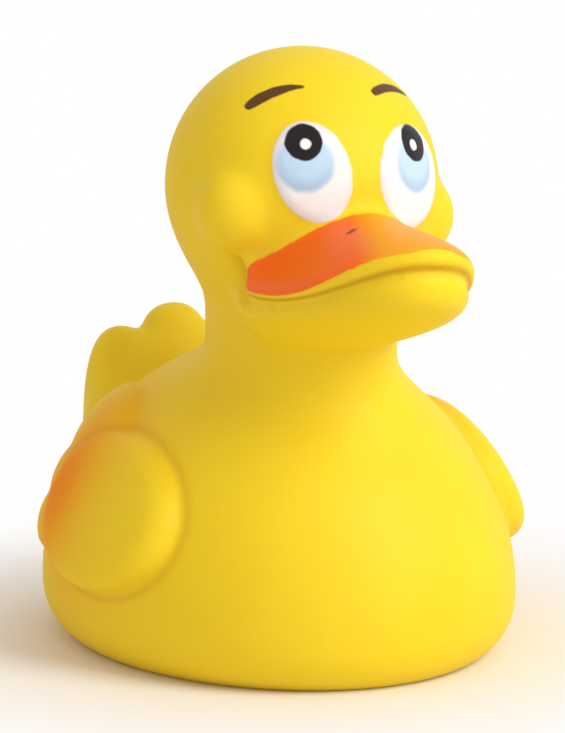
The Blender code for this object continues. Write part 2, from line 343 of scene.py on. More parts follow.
@dataclass(frozen=True)
class Head:
    """The head's sphere, which the whole face is measured from."""

    top: float = 90.0
    radius: float = 20.1
    forward: float = 5.8
    tilt: float = math.radians(8.0)

    @property
    def centre(self) -> Vector:
        """The sphere's centre."""
        return Vector((0.0, -self.forward, self.top - self.radius))

    @property
    def frame(self) -> Matrix:
        """Turns face coordinates into the duck's own."""
        turn = Matrix.Rotation(-self.tilt, 4, Vector((0.0, -1.0, 0.0)))
        return Matrix.Translation(self.centre) @ turn @ Matrix.Diagonal((1.0, -1.0, 1.0, 1.0))

    def section(self, z: float) -> float:
        """Gives the sphere's radius at a height."""
        return math.sqrt(max(self.radius**2 - (z - self.centre.z) ** 2, 0.0))

    def face_points(self, points: np.ndarray) -> np.ndarray:
        """Turns points of the duck, one a row, into face coordinates."""
        turn = np.array(self.frame.inverted())
        return points @ turn[:3, :3].T + turn[:3, 3]

    def face_fields(self, bench: Bench, place: Field) -> Face:
        """Works out the face coordinates of each shaded point.

        Args:
            bench: The material's bench.
            place: Where each point is, in millimetres.

        Returns:
            The face coordinates.
        """
        offset = bench.vector_math("SUBTRACT", {0: place, 1: self.centre}, "Vector")
        side, forward, up = bench.along(offset, self.frame.to_3x3().transposed())
        distance = bench.vector_math("LENGTH", {0: offset}, "Value")
        return Face(offset, side, forward, up, distance)


@dataclass(frozen=True)
class Trunk:
    """Body, neck and head, lofted from the underside to the crown."""

    head: Head
    width: float = 67.0
    breast_reach: float = 38.5
    rump_reach: float = 41.0
    rise: float = 36.0
    fullness: float = 1.85
    widest_height: float = 9.5
    base_edge_radius: float = 8.2
    base_cut: float = 0.7
    neck_half_width: float = 13.4
    neck_half_length: float = 16.6
    neck_base_height: float = 30.0
    shoulder_blend: float = 6.5
    nape_blend: float = 5.0
    ring_step: float = 1.0
    ring_points: int = 128
    edge_steps: int = 20
    crown_cut: float = 0.98

    def body_scale(self, z: float) -> float:
        """Gives the body's size at a height, as a share of its widest section."""
        share = min(max(z - self.widest_height, 0.0) / self.rise, 1.0)
        return (1 - share**self.fullness) ** (1 / self.fullness)

    def base_inset(self, z: float) -> float:
        """Gives how far the rounded lower edge draws in at a height."""
        short = max(self.base_edge_radius - self.base_cut - z, 0.0)
        return self.base_edge_radius - math.sqrt(max(self.base_edge_radius**2 - short**2, 0.0))

    def reach(self, z: float, body_reach: float, neck_reach: float, offset: float) -> float:
        """Gives how far the skin lies from the body's axis, towards one side.

        Args:
            z: The height.
            body_reach: The body's reach where it is widest.
            neck_reach: The neck's reach.
            offset: How far neck and head are shifted towards that side.

        Returns:
            The distance.
        """
        body = body_reach * self.body_scale(z) - self.base_inset(z)
        if z < self.neck_base_height:
            return body
        column = self.head.section(z)
        if z < self.head.centre.z:
            column = smooth_max(neck_reach, column, self.nape_blend)
        if body <= 0.0:
            return column + offset
        return smooth_max(body, column + offset, self.shoulder_blend)

    def ring(self, z: float) -> list[Vector]:
        """Gives the points of the skin's section.

        Args:
            z: The section's height.

        Returns:
            The points, once round.
        """
        half_width = self.reach(z, self.width / 2, self.neck_half_width, 0.0)
        front = -self.reach(z, self.breast_reach, self.neck_half_length, self.head.forward)
        back = self.reach(z, self.rump_reach, self.neck_half_length, -self.head.forward)
        middle, half_length = (front + back) / 2, (back - front) / 2
        turns = [math.tau * i / self.ring_points for i in range(self.ring_points)]
        return [Vector((half_width * math.cos(t), middle + half_length * math.sin(t), z)) for t in turns]

    def shell(self) -> Shell:
        """Lofts the closed shell.

        Returns:
            The shell.
        """
        quarter = [math.pi / 2 * i / self.edge_steps for i in range(self.edge_steps + 1)]
        heights = [-self.base_cut + self.base_edge_radius * (1 - math.cos(t)) for t in quarter]
        rise = self.head.centre.z - heights[-1]
        steps = round(rise / self.ring_step)
        heights += [heights[-1] + rise * i / steps for i in range(1, steps)]
        heights += [self.head.centre.z + self.head.radius * math.sin(t * self.crown_cut) for t in quarter]
        mesh = bmesh.new()
        rows = [[mesh.verts.new(point) for point in self.ring(z)] for z in heights]
        for lower, upper in zip(rows, rows[1:]):
            for i, vert in enumerate(lower):
                j = (i + 1) % len(lower)
                mesh.faces.new((vert, lower[j], upper[j], upper[i]))
        mesh.faces.new(list(reversed(rows[0])))
        mesh.faces.new(rows[-1])
        return mesh


@dataclass(frozen=True)
class Bill:
    """The blunt bill. The mouth line arches up across it, and the paint stops at the upper lip."""

    head: Head
    reach: float = 43.0
    root: float = 10.0
    half_width: float = 14.6
    root_taper: float = 1.2
    bluntness: float = 2.3
    edge_fullness: float = 0.6
    mouth_drop: float = 4.8
    mouth_arch: float = 11.0
    mouth_arch_power: float = 2.6
    ridge_drop_at_root: float = 0.6
    ridge_drop_at_tip: float = 1.0
    roof_power: float = 2.1
    wall_at_root: float = 4.6
    lip_width_at_root: float = 1.7
    lip_width_at_tip: float = 3.4
    lip_start: float = 0.2
    lip_end: float = 0.75
    lip_relief: float = 1.0
    chin_drop_at_root: float = 24.0
    chin_drop_at_tip: float = 12.8
    chin_taper: float = 0.38
    lip_overhang: float = 0.9
    lip_set_back: float = 3.0
    relief_span: float = 1.15
    groove_depth: float = 2.0
    groove_width: float = 1.6
    corner: float = 9.6
    paint: Paint = Paint((0.98, 0.155, 0.010), 0.40, 0.03)
    # How the orange thins towards the bill's front left: a painted highlight where the key light falls.
    highlight_paint_cover: float = 0.55
    highlight_slant: float = 0.43
    highlight_beyond: float = 5.2
    highlight_fade: float = 4.0
    # A darker tone laid in the groove under the upper lip: painted shade.
    crease_shade: Paint = Paint((0.52, 0.26, 0.004), 0.6)
    crease_shade_width: float = 0.75
    crease_shade_cover: float = 0.75
    speck: Paint = Paint((0.30, 0.05, 0.01), 0.5)
    speck_place: tuple[float, float] = (-6.0, 26.0)
    speck_radius: float = 0.45
    speck_squash: float = 0.6
    speck_edge: float = 0.3
    speck_lowest: float = -6.0
    paint_start: float = 11.2
    paint_off_head: float = 0.35
    paint_rounding: float = 2.2
    tip_rounding: float = 1.0
    bare_at_root: float = 1.6
    bare_at_tip: float = 5.7
    climb_power: float = 3.6
    root_paint_rise: float = 0.1
    left_overlap: float = 2.2

    def along(self, forward: Any) -> Any:
        """Gives 0 at the bill's root and 1 at its tip."""
        return share_between(forward, self.root, self.reach)

    def half_width_at(self, forward: float) -> float:
        """Gives the bill's half width in plan.

        Args:
            forward: The distance forward of the head's centre.

        Returns:
            The half width.
        """
        if forward < self.root:
            behind = (self.root - forward) / (self.root + self.head.radius)
            return self.half_width * (1 - behind / self.root_taper)
        return self.half_width * (1 - self.along(forward) ** self.bluntness) ** (1 / self.bluntness)

    def mouth_height(self, side: Any) -> Any:
        """Gives the height of the mouth line."""
        return -self.mouth_drop - self.mouth_arch * (abs(side) / self.half_width) ** self.mouth_arch_power

    def lip_width(self, forward: Any) -> Any:
        """Gives the height of the upper lip's roll."""
        share = share_between(self.along(forward), self.lip_start, self.lip_end)
        return between(self.lip_width_at_root, self.lip_width_at_tip, share)

    def roof_height(self, side: float, forward: float) -> float:
        """Gives the height of the bill's upper face.

        Args:
            side: The distance towards the duck's left.
            forward: The distance forward of the head's centre.

        Returns:
            The height.
        """
        share = self.along(forward)
        ridge = -between(self.ridge_drop_at_root, self.ridge_drop_at_tip, share)
        half = self.half_width_at(forward)
        edge = self.mouth_height(half) + between(self.wall_at_root, self.lip_width_at_tip, share)
        return between(ridge, edge, min(abs(side) / max(half, TINY), 1.0) ** self.roof_power)

    def roof_line(self, side: Any) -> Any:
        """Gives the height at which the bill's upper face leaves the head."""
        fall = self.mouth_drop + self.mouth_arch - self.wall_at_root - self.ridge_drop_at_root
        return -self.ridge_drop_at_root - fall * (abs(side) / self.half_width) ** self.roof_power

    def chin_height(self, forward: float) -> float:
        """Gives the height of the lower bill's underside."""
        return -between(self.chin_drop_at_root, self.chin_drop_at_tip, self.along(forward))

    def shell(self) -> Shell:
        """Makes the bill as one blunt pad between its chin and its roof.

        Returns:
            The shell.
        """
        mesh = bmesh.new()
        bmesh.ops.create_uvsphere(mesh, u_segments=192, v_segments=96, radius=1.0)
        middle = (self.reach - self.head.radius / 4) / 2
        half_length = self.reach - middle
        for vert in mesh.verts:
            x, y, z = vert.co
            plan = math.hypot(x, y) ** self.edge_fullness
            height = math.copysign(abs(z) ** self.edge_fullness, z)
            ahead = math.sin(math.atan2(y, x)) * half_length
            forward = middle + ahead * plan
            side = math.copysign(self.half_width_at(middle + ahead) * plan, x) if abs(x) > TINY else 0.0
            low, high = self.chin_height(forward), self.roof_height(side, forward)
            if z < 0.0:
                side *= 1 - self.chin_taper * abs(height) * (1 - self.along(forward) / 2)
            vert.co = Vector((side, forward, (low + high) / 2 + height * (high - low) / 2))
        bmesh.ops.remove_doubles(mesh, verts=mesh.verts, dist=0.01)
        bmesh.ops.transform(mesh, matrix=self.head.frame, verts=mesh.verts)
        bmesh.ops.recalc_face_normals(mesh, faces=mesh.faces)
        return mesh

    def relief(self, face: np.ndarray) -> np.ndarray:
        """Raises the upper lip, and sinks the groove under it and the lower lip.

        Args:
            face: The points in face coordinates.

        Returns:
            How far each point is raised.
        """
        side, forward, up = face.T
        above = smooth_min(up - self.mouth_height(side), forward - self.corner, self.lip_width_at_tip)
        lip = self.lip_relief * np.exp(-((2 * above / self.lip_width(forward) - 1) ** 2))
        groove = self.groove_depth * np.exp(-((above / (self.groove_width / 2)) ** 2))
        below = np.clip(-above / self.groove_width, 0.0, None)
        set_back = self.lip_overhang * np.minimum(2 * below, 1.0) * np.exp(-below / self.lip_set_back)
        raised = lip - groove - set_back
        raised *= share_between(forward, self.corner - self.lip_width_at_tip, self.corner)
        raised *= share_between(self.roof_line(side) - up, -self.lip_width_at_tip, 0.0)
        raised[np.abs(side) > self.half_width * self.relief_span] = 0.0
        return raised

    def dress(self, coats: Coats) -> None:
        """Paints the upper bill down to its lip.

        Args:
            coats: What is on the surface so far.
        """
        bench, face = coats.bench, coats.face
        share = ((face.forward - self.root) / (self.reach - self.root)).clamped()
        above_mouth = face.up - self.mouth_height(face.side)
        outline = self.half_width * (1.0 - share**self.bluntness) ** (1 / self.bluntness)
        inset = bench.smallest(self.tip_rounding, outline - abs(face.side), self.reach - face.forward)
        left = (face.side / self.half_width).clamped()
        climb = self.bare_at_tip - self.bare_at_root - left * self.left_overlap
        bare = self.bare_at_root + climb * share**self.climb_power
        above_lip = above_mouth + bench.math("MAXIMUM", inset, 0.0) - bare
        below_root = self.roof_line(face.side) + self.root_paint_rise - face.up
        off_head = face.distance - (self.head.radius + self.paint_off_head)
        ahead = face.forward - self.paint_start
        inside = bench.smallest(self.paint_rounding, above_lip, off_head, below_root, ahead)
        on_bill = bench.within(self.half_width + self.lip_width_at_tip - abs(face.side), MASK_EDGE)
        # Painted highlight: less orange over the bill's front left, so the yellow shows through where the
        # key light falls.
        painted_highlight = ((face.side + face.forward * self.highlight_slant - self.highlight_beyond) / self.highlight_fade).clamped()
        cover = 1.0 - painted_highlight * (1 - self.highlight_paint_cover)
        coats.lay(bench.within(inside + coats.wobble, BRUSH_EDGE) * on_bill * cover, self.paint)
        # Painted shade: darkens the rubber along the mouth's groove, under the upper lip.
        from_corner = face.forward - self.corner
        crease_shade = bench.smallest(self.lip_width_at_tip, above_mouth, from_corner) / self.crease_shade_width
        shade = bench.math("EXPONENT", -(crease_shade * crease_shade)) * self.crease_shade_cover * on_bill
        on_mouth = (from_corner / self.lip_width_at_tip + 1.0).clamped()
        coats.lay(shade * on_mouth * bench.within(below_root, self.lip_width_at_tip), self.crease_shade)
        self.dress_speck(coats)

    def dress_speck(self, coats: Coats) -> None:
        """Leaves the dark speck on the paint of the upper bill.

        Args:
            coats: What is on the surface so far.
        """
        bench, face = coats.bench, coats.face
        side, forward = self.speck_place
        away = bench.length((face.side - side) * self.speck_squash, face.forward - forward)
        on_top = bench.within(face.up - self.speck_lowest, MASK_EDGE)
        speck = bench.within(self.speck_radius - away + coats.wobble, self.speck_edge)
        coats.lay(speck * on_top, self.speck)


@dataclass(frozen=True)
class Cheeks:
    """The two puffed cheeks."""

    head: Head
    radius: float = 6.8
    bulge: float = 2.8
    angle: float = math.radians(62.0)
    drop: float = 2.9

    def shell(self, side: Side) -> Shell:
        """Makes one cheek.

        Args:
            side: Its side.

        Returns:
            The shell.
        """
        out = self.head.radius + self.bulge - self.radius
        place = Vector((side * out * math.sin(self.angle), out * math.cos(self.angle), -self.drop))
        return pad(self.head.frame @ place, (self.radius,) * 3)


@dataclass(frozen=True)
class Oval:
    """A tilted oval: its centre, its half length, its half width and the tilt of its length."""

    along: float
    across: float
    half_length: float
    half_width: float
    tilt: float

    def inward(self, along: Any, across: Any, length: Callable[[Any, Any], Any]) -> Any:
        """Gives how far inside the oval each point lies.

        Args:
            along: The points' places on the first axis, as an array or a field.
            across: Their places on the second axis.
            length: Gives the length of a vector from its two components.

        Returns:
            The distances, negative outside.
        """
        along, across = along - self.along, across - self.across
        lengthwise = (along * math.cos(self.tilt) + across * math.sin(self.tilt)) / self.half_length
        widthwise = (across * math.cos(self.tilt) - along * math.sin(self.tilt)) / self.half_width
        return (1 - length(lengthwise, widthwise)) * self.half_width


@dataclass(frozen=True)
class Brow:
    """One painted brow: an arc about its eye's middle. Angles run outward from straight up."""

    start: float
    end: float
    start_radius: float
    end_radius: float
    thickness: float
    lean_to_end: float
    tail_thickness: float = 0.3
    lean_to_start: float = 0.4
    end_rounding: float = 0.5
    brush_share: float = 0.6
    paint: Paint = Paint((0.10, 0.040, 0.006), 0.5, 0.02)

    def dress(self, coats: Coats, out: Field, rise: Field, front: Field) -> None:
        """Paints the brow.

        Args:
            coats: What is on the surface so far.
            out: The distance outward of the eye's middle.
            rise: The distance above it.
            front: A mask that is 1 on the face and 0 behind it.
        """
        bench = coats.bench
        angle = bench.math("ARCTAN2", out, rise)
        radius = bench.length(out, rise)
        share = ((angle - self.start) / (self.end - self.start)).clamped()
        line = between(self.start_radius, self.end_radius, share)
        taper = share**self.lean_to_end * (1.0 - share) ** self.lean_to_start
        thickness = self.tail_thickness + self.thickness * taper
        inward = thickness / 2 - abs(radius - line)
        after_start = (angle - self.start) * radius
        before_end = (self.end - angle) * radius
        inside = bench.smallest(self.end_rounding, inward, after_start, before_end)
        inside = inside + coats.wobble * self.brush_share
        coats.lay(bench.within(inside, BRUSH_EDGE) * front, self.paint)


@dataclass(frozen=True)
class Eye:
    """One eye: a low oval pad, painted white, with an iris, a pupil and a glint that look up."""

    head: Head
    side: Side
    shift: float
    half_width: float
    half_height: float
    lean: float
    squint: tuple[float, float]
    brow: Brow
    spacing: float = 16.2
    rise: float = 4.6
    relief_height: float = 0.4
    iris_place: tuple[float, float] = (0.9, 1.0)
    iris_radius: float = 4.1
    iris_edge: float = 0.9
    crescent: float = 1.3
    crescent_edge: float = 1.8
    crescent_cover: float = 0.8
    pupil_place: tuple[float, float] = (1.4, 4.1)
    pupil_radius: float = 2.75
    glint_place: tuple[float, float] = (1.15, 3.8)
    glint_radius: float = 0.8
    white: Paint = Paint((0.86, 0.85, 0.87), 0.30, 0.04)
    # A lavender ring along the edge of the eye's white: painted shade.
    rim: Paint = Paint((0.60, 0.56, 0.68), 0.34)
    rim_shade_width: float = 1.3
    rim_shade_cover: float = 0.45
    iris: Paint = Paint((0.50, 0.69, 0.90), 0.30)
    iris_shadow: Paint = Paint((0.36, 0.50, 0.70), 0.30)
    pupil: Paint = Paint((0.012, 0.009, 0.010), 0.22, 0.02)
    glint: Paint = Paint((0.90, 0.90, 0.90), 0.25, 0.02)

    @property
    def outline(self) -> Oval:
        """The eye's outline. Its length stands upright but for the lean."""
        return Oval(0.0, 0.0, self.half_height, self.half_width, self.lean)

    def axes(self) -> tuple[Vector, Vector, Vector]:
        """Gives the directions of the eye's plane, which touches the head at the eye's middle.

        Returns:
            Outward, upward and out of the plane, in face coordinates.
        """
        half_spacing = self.spacing / 2
        ahead = math.sqrt(self.head.radius**2 - half_spacing**2 - self.rise**2)
        outward = Vector((self.side * ahead, -half_spacing, 0.0)).normalized()
        gaze = Vector((self.side * half_spacing, ahead, self.rise)).normalized()
        return outward, outward.cross(gaze) * self.side, gaze

    def relief(self, face: np.ndarray) -> np.ndarray:
        """Gives how far the eye's pad is raised.

        Args:
            face: The points in face coordinates.

        Returns:
            The relief at each point.
        """
        outward, upward, gaze = (np.array(axis) for axis in self.axes())
        out, rise = face @ outward - self.shift, face @ upward
        inward = self.outline.inward(rise, out, np.hypot)
        raised = cushion(inward, self.relief_height, 2 * self.relief_height)
        raised[face @ gaze < 0.0] = 0.0
        return raised

    def dress(self, coats: Coats) -> None:
        """Paints the eye and its brow.

        Args:
            coats: What is on the surface so far.
        """
        bench = coats.bench
        turn = self.head.frame.to_3x3()
        out, rise, ahead = bench.along(coats.face.offset, [turn @ axis for axis in self.axes()])
        out = out - self.shift
        inward = self.outline.inward(rise, out, bench.length)
        front = bench.within(ahead, MASK_EDGE)
        white = bench.within(inward + coats.wobble, BRUSH_EDGE) * front
        coats.lay(white, self.white)
        # Painted shade: a lavender ring darkens the white along the eye's edge.
        rim = 1.0 - bench.within(inward - self.rim_shade_width / 2, self.rim_shade_width)
        coats.lay(white * rim * self.rim_shade_cover, self.rim)

        def disc(place: tuple[float, float], radius: float, edge: float, stray: Number = 0.0) -> Field:
            """Makes the mask of a disc on the eye, which the squint shifts."""
            across, along = place[0] + self.squint[0], place[1] + self.squint[1]
            return bench.within(radius - bench.length(out - across, rise - along) + stray, edge)

        iris = disc(self.iris_place, self.iris_radius, self.iris_edge, coats.wobble) * white
        coats.lay(iris, self.iris)
        lifted = (self.iris_place[0], self.iris_place[1] + self.crescent)
        crescent = 1.0 - disc(lifted, self.iris_radius, self.crescent_edge)
        coats.lay(crescent * iris * self.crescent_cover, self.iris_shadow)
        for place, radius, paint in ((self.pupil_place, self.pupil_radius, self.pupil),
                                     (self.glint_place, self.glint_radius, self.glint)):
            coats.lay(disc(place, radius, BRUSH_EDGE, coats.wobble) * front, paint)
        self.brow.dress(coats, out, rise, front)


@dataclass(frozen=True)
class Wings:
    """The two folded wings: a rounded palm in front of three feathers.

    The places and half sizes of palm and feathers are shares of the wing's length and height.
    """

    body_width: float = 67.0
    length: float = 40.0
    height: float = 26.0
    centre_back: float = 4.0
    centre_height: float = 25.0
    palm_back: float = -0.125
    palm_lift: float = -0.1
    palm_half_length: float = 0.39
    palm_half_height: float = 0.41
    palm_tilt: float = math.radians(8)
    feather_lifts: tuple[float, ...] = (0.26, 0.0, -0.25)
    feather_half_lengths: tuple[float, ...] = (0.25, 0.27, 0.25)
    feather_half_heights: tuple[float, ...] = (0.21, 0.19, 0.18)
    feather_tilt: float = math.radians(-10)
    palm_relief_at_top: float = 2.0
    palm_relief_at_bottom: float = 4.2
    feather_relief: float = 1.9
    edge_radius: float = 2.6
    airbrush_place: tuple[float, float] = (9.5, 25.0)
    airbrush_reach: tuple[float, float] = (9.5, 12.0)
    airbrush_strength: float = 0.95
    airbrush: Paint = Paint((0.90, 0.26, 0.001), 0.75)
    # A darker tone along the palm's outline: painted shade where the wing stands off the body.
    crease_shade: Paint = Paint((0.62, 0.34, 0.004), 0.55)
    crease_shade_shift: float = 0.9
    crease_shade_width: float = 0.55
    crease_shade_cover: float = 0.35

    def palm(self) -> Oval:
        """Gives the palm's outline, which tips down towards the breast."""
        return Oval(self.centre_back + self.length * self.palm_back,
                    self.centre_height + self.height * self.palm_lift,
                    self.length * self.palm_half_length, self.height * self.palm_half_height,
                    self.palm_tilt)

    def feathers(self) -> list[Oval]:
        """Gives the feathers' outlines, from the top one down. Their tips end in one line."""
        shapes = zip(self.feather_lifts, self.feather_half_lengths, self.feather_half_heights)
        return [Oval(self.centre_back + self.length * (0.5 - half_length),
                     self.centre_height + self.height * lift,
                     self.length * half_length, self.height * half_height, self.feather_tilt)
                for lift, half_length, half_height in shapes]

    def relief(self, points: np.ndarray) -> np.ndarray:
        """Gives how far the wings are raised.

        Args:
            points: The points of the duck.

        Returns:
            The relief at each point.
        """
        y, z = points[:, 1], points[:, 2]
        share = np.clip((z - self.centre_height) / self.height + 0.5, 0.0, 1.0)
        thickness = between(self.palm_relief_at_bottom, self.palm_relief_at_top, share)
        raised = cushion(self.palm().inward(y, z, np.hypot), thickness, self.edge_radius)
        for feather in self.feathers():
            inward = feather.inward(y, z, np.hypot)
            raised = np.maximum(raised, cushion(inward, self.feather_relief, self.edge_radius))
        raised[np.abs(points[:, 0]) < self.body_width / 8] = 0.0
        return raised

    def dress(self, coats: Coats) -> None:
        """Sprays the soft orange patch where the palm meets the feathers, and lays painted shade along the
        palm's outline.

        Args:
            coats: What is on the surface so far.
        """
        bench = coats.bench
        x, y, z = (bench.node("SeparateXYZ", None, {0: coats.place}, axis) for axis in "XYZ")
        back, height = self.airbrush_place
        half_length, half_height = self.airbrush_reach
        spread = bench.length((y - back) / half_length, (z - height) / half_height)
        patch = bench.math("EXPONENT", -(spread * spread))
        outside = bench.within(abs(x) - self.body_width / 4, self.body_width / 6)
        coats.lay(patch * outside * self.airbrush_strength, self.airbrush)
        # Painted shade along the palm's outline.
        off_edge = (self.palm().inward(y, z, bench.length) + self.crease_shade_shift) / self.crease_shade_width
        outline = bench.math("EXPONENT", -(off_edge * off_edge))
        coats.lay(outline * outside * self.crease_shade_cover, self.crease_shade)


@dataclass(frozen=True)
class Tail:
    """The upturned tail: three feathers on a thick root.

    The heights of feathers and root are shares of the tail's height.
    """

    height: float = 44.4
    back: float = 32.0
    lobe_radius: float = 5.4
    lobe_spacing: float = 10.2
    middle_fullness: float = 1.15
    thickness: float = 9.0
    notch_depth: float = 2.6
    side_drop: float = 2.5
    lobe_half_height: float = 0.3
    lobe_fullness: float = 0.75
    lobe_lean: float = math.radians(-12)
    lobe_splay: float = math.radians(-9)
    root_half_height: float = 0.42
    root_spread: float = 1.5
    root_lead: float = 0.45
    root_half_depth: float = 0.9
    root_lean: float = math.radians(-16)

    def lobe(self, side: int) -> Shell:
        """Makes one feather.

        Args:
            side: -1, 0 or 1 from the duck's right to its left.

        Returns:
            The shell.
        """
        half_height = self.height * self.lobe_half_height
        top = self.height - self.side_drop * abs(side)
        place = Vector((side * self.lobe_spacing, self.back, top - half_height))
        lean = (self.lobe_lean, self.lobe_splay * side, 0.0)
        radius = self.lobe_radius if side else self.lobe_radius * self.middle_fullness
        return pad(place, (radius, self.thickness / 2, half_height), self.lobe_fullness, lean)

    def root(self) -> Shell:
        """Makes the thick root, sunk into the rump.

        Returns:
            The shell.
        """
        half_sizes = (self.lobe_spacing + self.lobe_radius * self.root_spread,
                      self.thickness * self.root_half_depth, self.height * self.root_half_height)
        place = Vector((0.0, self.back - self.thickness * self.root_lead,
                        self.height - self.notch_depth - half_sizes[2]))
        return pad(place, half_sizes, turn=(self.root_lean, 0.0, 0.0))

    def shells(self) -> list[Shell]:
        """Gives the tail's shells."""
        return [self.root(), *(self.lobe(side) for side in (-1, 0, 1))]


@dataclass(frozen=True)
class Rubber:
    """Natural rubber: matt, a little waxy and uneven in tone, with a fine grain from its mould."""

    colour: Colour = (0.86, 0.64, 0.018)
    deep_colour: Colour = (0.83, 0.55, 0.008)
    pale_colour: Colour = (0.89, 0.69, 0.04)
    roughness: float = 0.52
    shine: float = 0.2
    cloud: Noise = Noise(14.0, 3.0, 0.55)
    cloud_tone: Tone = Tone(0.35, 1.6, 0.55)
    mottle: Noise = Noise(1.6, 4.0, 0.65)
    mottle_tone: Tone = Tone(0.55, 3.0, 0.45)
    mottle_roughness: float = 0.16
    grain: Noise = Noise(0.28, 3.0, 0.6)
    grain_height: float = 0.006
    pores: Noise = Noise(0.8, 2.0, 0.5)
    pore_height: float = 0.010
    swell: Noise = Noise(9.0, 1.0, 0.4)
    swell_height: float = 0.12
    brush: Noise = Noise(1.7, 1.0, 0.5)
    brush_stray: float = 0.17
    glow: float = 0.10
    glow_depth: Colour = (1.0, 0.55, 0.12)
    glow_reach: float = 2.0

    def coats(self, bench: Bench, head: Head) -> Coats:
        """Starts the surface with bare rubber.

        Args:
            bench: The material's bench.
            head: The head, for the face coordinates.

        Returns:
            The bare surface.
        """
        metres = bench.node("TexCoord", output="Object")
        place = bench.vector_math("SCALE", {0: metres, "Scale": 1 / MM}, "Vector")
        mottle = bench.noise(place, self.mottle)
        clouds = self.cloud_tone.mask(bench.noise(place, self.cloud))
        colour = bench.mix(clouds, self.colour, self.deep_colour)
        colour = bench.mix(self.mottle_tone.mask(mottle), colour, self.pale_colour)
        height = bench.noise(place, self.grain) * self.grain_height
        height = height + bench.noise(place, self.pores) * self.pore_height
        height = height + bench.noise(place, self.swell) * self.swell_height
        roughness = self.roughness + (mottle - 0.5) * self.mottle_roughness
        wobble = (bench.noise(place, self.brush) - 0.5) * (2 * self.brush_stray)
        return Coats(bench, place, head.face_fields(bench, place), wobble, colour, roughness, height)

    def finish(self, coats: Coats) -> None:
        """Feeds the finished surface to the shader.

        Args:
            coats: What is on the surface.
        """
        bench = coats.bench
        bump = {"Height": coats.height, "Distance": MM, "Strength": 1.0}
        bench.feed(bench.shader, {
            "Base Color": coats.colour,
            "Roughness": coats.roughness,
            "Normal": bench.node("Bump", None, bump, "Normal"),
            "Specular IOR Level": self.shine,
            "Subsurface Weight": self.glow,
            "Subsurface Radius": self.glow_depth,
            "Subsurface Scale": self.glow_reach * MM,
        })


class Skin:
    """The mesh of the whole moulding while it is being made, in millimetres."""

    def __init__(self, name: str, shells: Sequence[Shell]) -> None:
        """Puts closed shells into one object.

        Args:
            name: The object's name.
            shells: The shells, which are used up.
        """
        data = bpy.data.meshes.new(name)
        whole = bmesh.new()
        for shell in shells:
            part = bpy.data.meshes.new("shell")
            shell.to_mesh(part)
            whole.from_mesh(part)
            shell.free()
            bpy.data.meshes.remove(part)
        whole.to_mesh(data)
        whole.free()
        self.piece = put(name, data)

    def modify(self, kind: str, **settings: Any) -> None:
        """Applies one modifier.

        Args:
            kind: The modifier's type.
            settings: Its settings.
        """
        modifier = self.piece.modifiers.new(kind.title(), kind)
        for key, value in settings.items():
            setattr(modifier, key, value)
        bpy.context.view_layer.update()
        graph = bpy.context.evaluated_depsgraph_get()
        made = bpy.data.meshes.new_from_object(self.piece.evaluated_get(graph))
        old = self.piece.data
        self.piece.modifiers.clear()
        self.piece.data = made
        bpy.data.meshes.remove(old)

    def fuse(self, voxel: float) -> None:
        """Melts the shells into one skin."""
        self.modify("REMESH", mode="VOXEL", voxel_size=voxel)

    def soften(self, steps: int) -> None:
        """Evens the skin out, as moulded rubber is."""
        self.modify("SMOOTH", factor=0.5, iterations=steps)

    def raise_by(self, relief: Callable[[np.ndarray], np.ndarray]) -> None:
        """Moves each point along its normal.

        Args:
            relief: Gives how far to move each of the points.
        """
        data = self.piece.data
        count = len(data.vertices)
        points, normals = np.empty(count * 3), np.empty(count * 3)
        data.vertices.foreach_get("co", points)
        data.vertex_normals.foreach_get("vector", normals)
        points = points.reshape(-1, 3)
        points += normals.reshape(-1, 3) * relief(points)[:, None]
        data.vertices.foreach_set("co", points.ravel())
        data.update()

    def cut_base(self) -> None:
        """Cuts the underside flat at the height of the floor, with a crisp rim."""
        mesh = bmesh.new()
        mesh.from_mesh(self.piece.data)
        everything = mesh.verts[:] + mesh.edges[:] + mesh.faces[:]
        bmesh.ops.bisect_plane(mesh, geom=everything, dist=0.0001, plane_co=(0, 0, 0),
                               plane_no=(0, 0, 1), clear_inner=True)
        rim = [edge for edge in mesh.edges if edge.is_boundary]
        base = bmesh.ops.edgeloop_fill(mesh, edges=rim)["faces"]
        bmesh.ops.recalc_face_normals(mesh, faces=mesh.faces)
        for face in mesh.faces:
            face.smooth = face not in base
        for edge in rim:
            edge.smooth = False
        mesh.to_mesh(self.piece.data)
        mesh.free()

    def to_metres(self) -> None:
        """Brings the skin from millimetres to the scene's metres."""
        self.piece.data.transform(Matrix.Scale(MM, 4))


